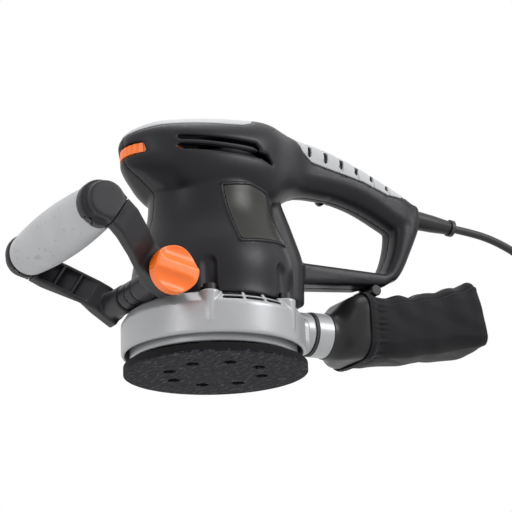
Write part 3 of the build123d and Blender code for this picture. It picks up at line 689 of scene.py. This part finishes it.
BAG_RINGS = [
    # x, half width, bottom z, top z, corner radius
    (110.2, 29.6, 15.4, 65.4, 16.0),
    (112.5, 30.0, 15.0, 65.9, 16.0),
    (114.5, 30.0, 15.0, 65.9, 16.0),
    (117.0, 28.2, 17.0, 64.0, 15.0),
    (120.0, 27.6, 18.0, 63.2, 14.5),
    (130, 28.4, 18.0, 64.8, 15.5),
    (150, 28.4, 21.2, 67.6, 16.0),
    (174, 27.4, 26.2, 73.2, 16.0),
    (192, 26.4, 30.4, 78.2, 15.5),
    (206, 25.0, 33.6, 82.6, 12.0),
    (213, 22.5, 36.5, 83.0, 9.0),
    (216.5, 16.0, 42.0, 80.0, 9.0),
    (217.5, 4.0, 56.0, 66.0, 3.5),
]
BAG_END = (0.2176, 0, 0.061)
BAG_AROUND = 220
BAG_ALONG = 210
RING_STEPS = 721
RING_SMOOTHINGS = 6
BAND_END = 117.5
GATHER_PLACE = 118.0
GATHER_REACH = 5.0
SLACK_START = 119
SLACK_RUN_IN = 14
SLACK_END = 219
SLACK_RUN_OUT = 8
SLACK_LEAST = 0.15
CREASE_TURN = 0.35
SEAM_TURNS = (0.16 * np.pi, 1.18 * np.pi)
LEAN_START = 165
LEAN_RUN = 45
LEAN_MOST = 0.26
LEAN_HEIGHT = 58


def bag_ring(half, bottom, top, corner, count):
    """Points round a rounded rectangle, evenly by length, starting at the near side's middle."""
    height = (top - bottom) / 2
    angles = np.linspace(0, 2 * np.pi, RING_STEPS)
    flat_y, flat_z = half - corner, height - corner
    c, s = np.cos(angles), np.sin(angles)
    y = -(np.sign(c) * np.minimum(1, np.abs(c) * 3) * flat_y + corner * c)
    z = np.sign(s) * np.minimum(1, np.abs(s) * 3) * flat_z + corner * s
    run = np.concatenate([[0], np.cumsum(np.hypot(np.diff(y), np.diff(z)))])
    at = np.linspace(0, run[-1], count, endpoint=False)
    return np.interp(at, run, y), np.interp(at, run, z) + (top + bottom) / 2


def bag_sizes():
    """The rows of BAG_RINGS filled in evenly along the bag and smoothed."""
    table = np.array(BAG_RINGS)
    run = np.concatenate([[0], np.cumsum(np.hypot(np.diff(table[:, 0]), np.diff(table[:, 1])))])
    at = np.linspace(0, run[-1], BAG_ALONG)
    rings = np.stack([np.interp(at, run, table[:, k]) for k in range(5)], axis=1)
    for _ in range(RING_SMOOTHINGS):
        rings[1:-1] = (rings[:-2] + 2 * rings[1:-1] + rings[2:]) / 4
    return rings


def bag_push(x, turn, phases):
    """How far the cloth stands off its plain ring at x: gathers, folds, a crease and two seams."""
    gather = math.exp(-((x - GATHER_PLACE) / GATHER_REACH) ** 2)
    band = 1.0 if x < BAND_END else 0.0
    slack = min(1.0, max(0.0, (x - SLACK_START) / SLACK_RUN_IN))
    slack = slack * min(1.0, max(SLACK_LEAST, (SLACK_END - x) / SLACK_RUN_OUT))
    # gathers beside the band
    push = 0.55 * gather * np.sin(34 * turn + 2.2 * np.sin(3 * turn)) * (1 - 0.7 * band)
    push = push + 0.35 * gather * np.sin(53 * turn + phases[0])
    # long slack folds, deeper on top, and fine wrinkles
    push = push + slack * 0.8 * np.sin(2 * turn + x * 0.045 + phases[1])
    push = push + slack * 0.55 * np.sin(3 * turn + x * 0.13 + 1.3 * np.sin(x * 0.09 + phases[2]))
    upper = np.clip(np.sin(turn) + 0.2, 0, 1)
    push = push + slack * upper * 1.1 * np.sin(x * 0.27 + 1.2 * np.sin(2 * turn) + phases[3])
    push = push + slack * 0.16 * np.sin(11 * turn + x * 0.2 + phases[4])
    # a crease that runs the length of the bag
    crease = np.exp(-((np.sin(turn / 2 + CREASE_TURN + 0.012 * (x - 120))) / 0.05) ** 2)
    push = push - slack * 0.7 * crease
    # a raised edge and a stitched groove along each seam
    for seam_turn in SEAM_TURNS:
        away = np.angle(np.exp(1j * (turn - seam_turn - 0.0016 * (x - 120))))
        edge = 0.8 * np.exp(-(away / 0.04) ** 2)
        groove = 1.1 * np.exp(-((away - 0.075) / 0.028) ** 2)
        push = push + slack * (edge - groove)
    return push


def bag_points():
    """The cloth's points, ring by ring from the band to the closed end."""
    phases = np.random.default_rng(11).uniform(0, 2 * np.pi, 24)
    turn = np.linspace(0, 2 * np.pi, BAG_AROUND, endpoint=False)
    points = []
    for x, half, bottom, top, corner in bag_sizes():
        corner = min(corner, half - 0.01, (top - bottom) / 2 - 0.01)
        y, z = bag_ring(half, bottom, top, corner, BAG_AROUND)
        normal = np.stack([y, z - (top + bottom) / 2], axis=1)
        normal /= np.maximum(np.linalg.norm(normal, axis=1, keepdims=True), 1e-6)
        push = bag_push(x, turn, phases)
        y = y + push * normal[:, 0]
        z = z + push * normal[:, 1]
        lean = LEAN_MOST * min(1.0, max(0.0, (x - LEAN_START) / LEAN_RUN)) ** 2
        points.append(np.stack([x - lean * (z - LEAN_HEIGHT), y, z], axis=1))
    return np.array(points)


def bag_piece():
    """The cloth dust bag: gathered into its band, seamed along each side, slack in long folds."""
    verts = (bag_points().reshape(-1, 3) * MM).tolist() + [BAG_END]
    count = BAG_ALONG * BAG_AROUND
    index = np.arange(count).reshape(BAG_ALONG, BAG_AROUND)
    a, b = index[:-1], index[1:]
    faces = np.stack([a, np.roll(a, -1, 1), np.roll(b, -1, 1), b], axis=-1).reshape(-1, 4).tolist()
    last = index[-1].tolist()
    faces += [(last[i], last[(i + 1) % BAG_AROUND], count) for i in range(BAG_AROUND)]
    mesh = bpy.data.meshes.new("dust_bag_cloth")
    mesh.from_pydata(verts, [], faces)
    mesh.update()
    probe = bmesh.new()
    probe.from_mesh(mesh)
    bmesh.ops.recalc_face_normals(probe, faces=probe.faces)
    probe.to_mesh(mesh)
    probe.free()
    mesh.polygons.foreach_set("use_smooth", np.ones(len(mesh.polygons), bool))
    mesh.materials.append(MATERIALS["cloth"])
    obj = new_object("dust_bag_cloth", mesh)
    finish_piece(obj, "dust_box", "bag_cloth", "dust_bag", "bag_band")


housing_pieces()
handle_arm(-1, "handle_arm_left")
handle_arm(1, "handle_arm_right")
grip_piece()
knob_piece()
rounded("palm_pad", "_moulded", 0.4, 2, "soft", "casing", "soft_grip")
rear_grip_pad()
rounded("base_skirt", "_cast", 0.45, 2, "silver", "casing", "skirt_plastic")
rounded("bag_hopper", "_moulded", 0.35, 1, "black", "dust_box", "black_plastic")
bag_piece()


# ---------------------------------------------------------------- stage and light

FLOOR_SIZE = 8.0
FLOOR_LEVEL = -0.0004


def make_stage():
    """A pale floor that shows only from above and throws nothing back at the tool."""
    material, tree, shader = new_material("floor_paint")
    shader.inputs["Base Color"].default_value = (0.86, 0.86, 0.86, 1)
    shader.inputs["Roughness"].default_value = 0.7
    geometry = add_node(tree, "ShaderNodeNewGeometry")
    clear = add_node(tree, "ShaderNodeBsdfTransparent")
    mix = add_node(tree, "ShaderNodeMixShader")
    tree.links.new(geometry.outputs["Backfacing"], mix.inputs["Fac"])
    tree.links.new(shader.outputs["BSDF"], mix.inputs[1])
    tree.links.new(clear.outputs["BSDF"], mix.inputs[2])
    tree.links.new(mix.outputs["Shader"], tree.nodes["Material Output"].inputs["Surface"])
    bpy.ops.mesh.primitive_plane_add(size=FLOOR_SIZE, location=(0, 0, FLOOR_LEVEL))
    floor = bpy.context.object
    floor.name = "floor"
    floor.data.materials.append(material)
    floor.visible_diffuse = False
    floor.visible_glossy = False
    floor.visible_transmission = False
    floor.visible_shadow = False


def make_world():
    world = bpy.data.worlds.new("studio")
    bpy.context.scene.world = world
    world.use_nodes = True
    background = world.node_tree.nodes["Background"]
    background.inputs["Color"].default_value = (1.0, 1.0, 1.0, 1)
    background.inputs["Strength"].default_value = 1.0


def softbox(name, place, aim, size, power):
    """A rectangular lamp at a place, turned towards its aim."""
    light = bpy.data.lights.new(name, "AREA")
    light.shape = "RECTANGLE"
    light.size, light.size_y = size
    light.energy = power
    lamp = new_object(name, light)
    lamp.location = place
    lamp.rotation_mode = "QUATERNION"
    lamp.rotation_quaternion = (Vector(aim) - Vector(place)).to_track_quat("-Z", "Y")


make_world()
make_stage()
softbox("key_light", place=(0.75, -1.0, 0.75), aim=(0.05, 0, 0.1), size=(0.5, 0.5), power=9.0)
softbox("left_light", place=(-1.3, -0.5, 0.5), aim=(0, 0, 0.1), size=(0.35, 0.8), power=3.0)
softbox("top_light", place=(0.0, 0.2, 1.3), aim=(0, 0, 0.15), size=(0.9, 0.9), power=9.0)
bpy.context.scene.view_settings.view_transform = "Standard"
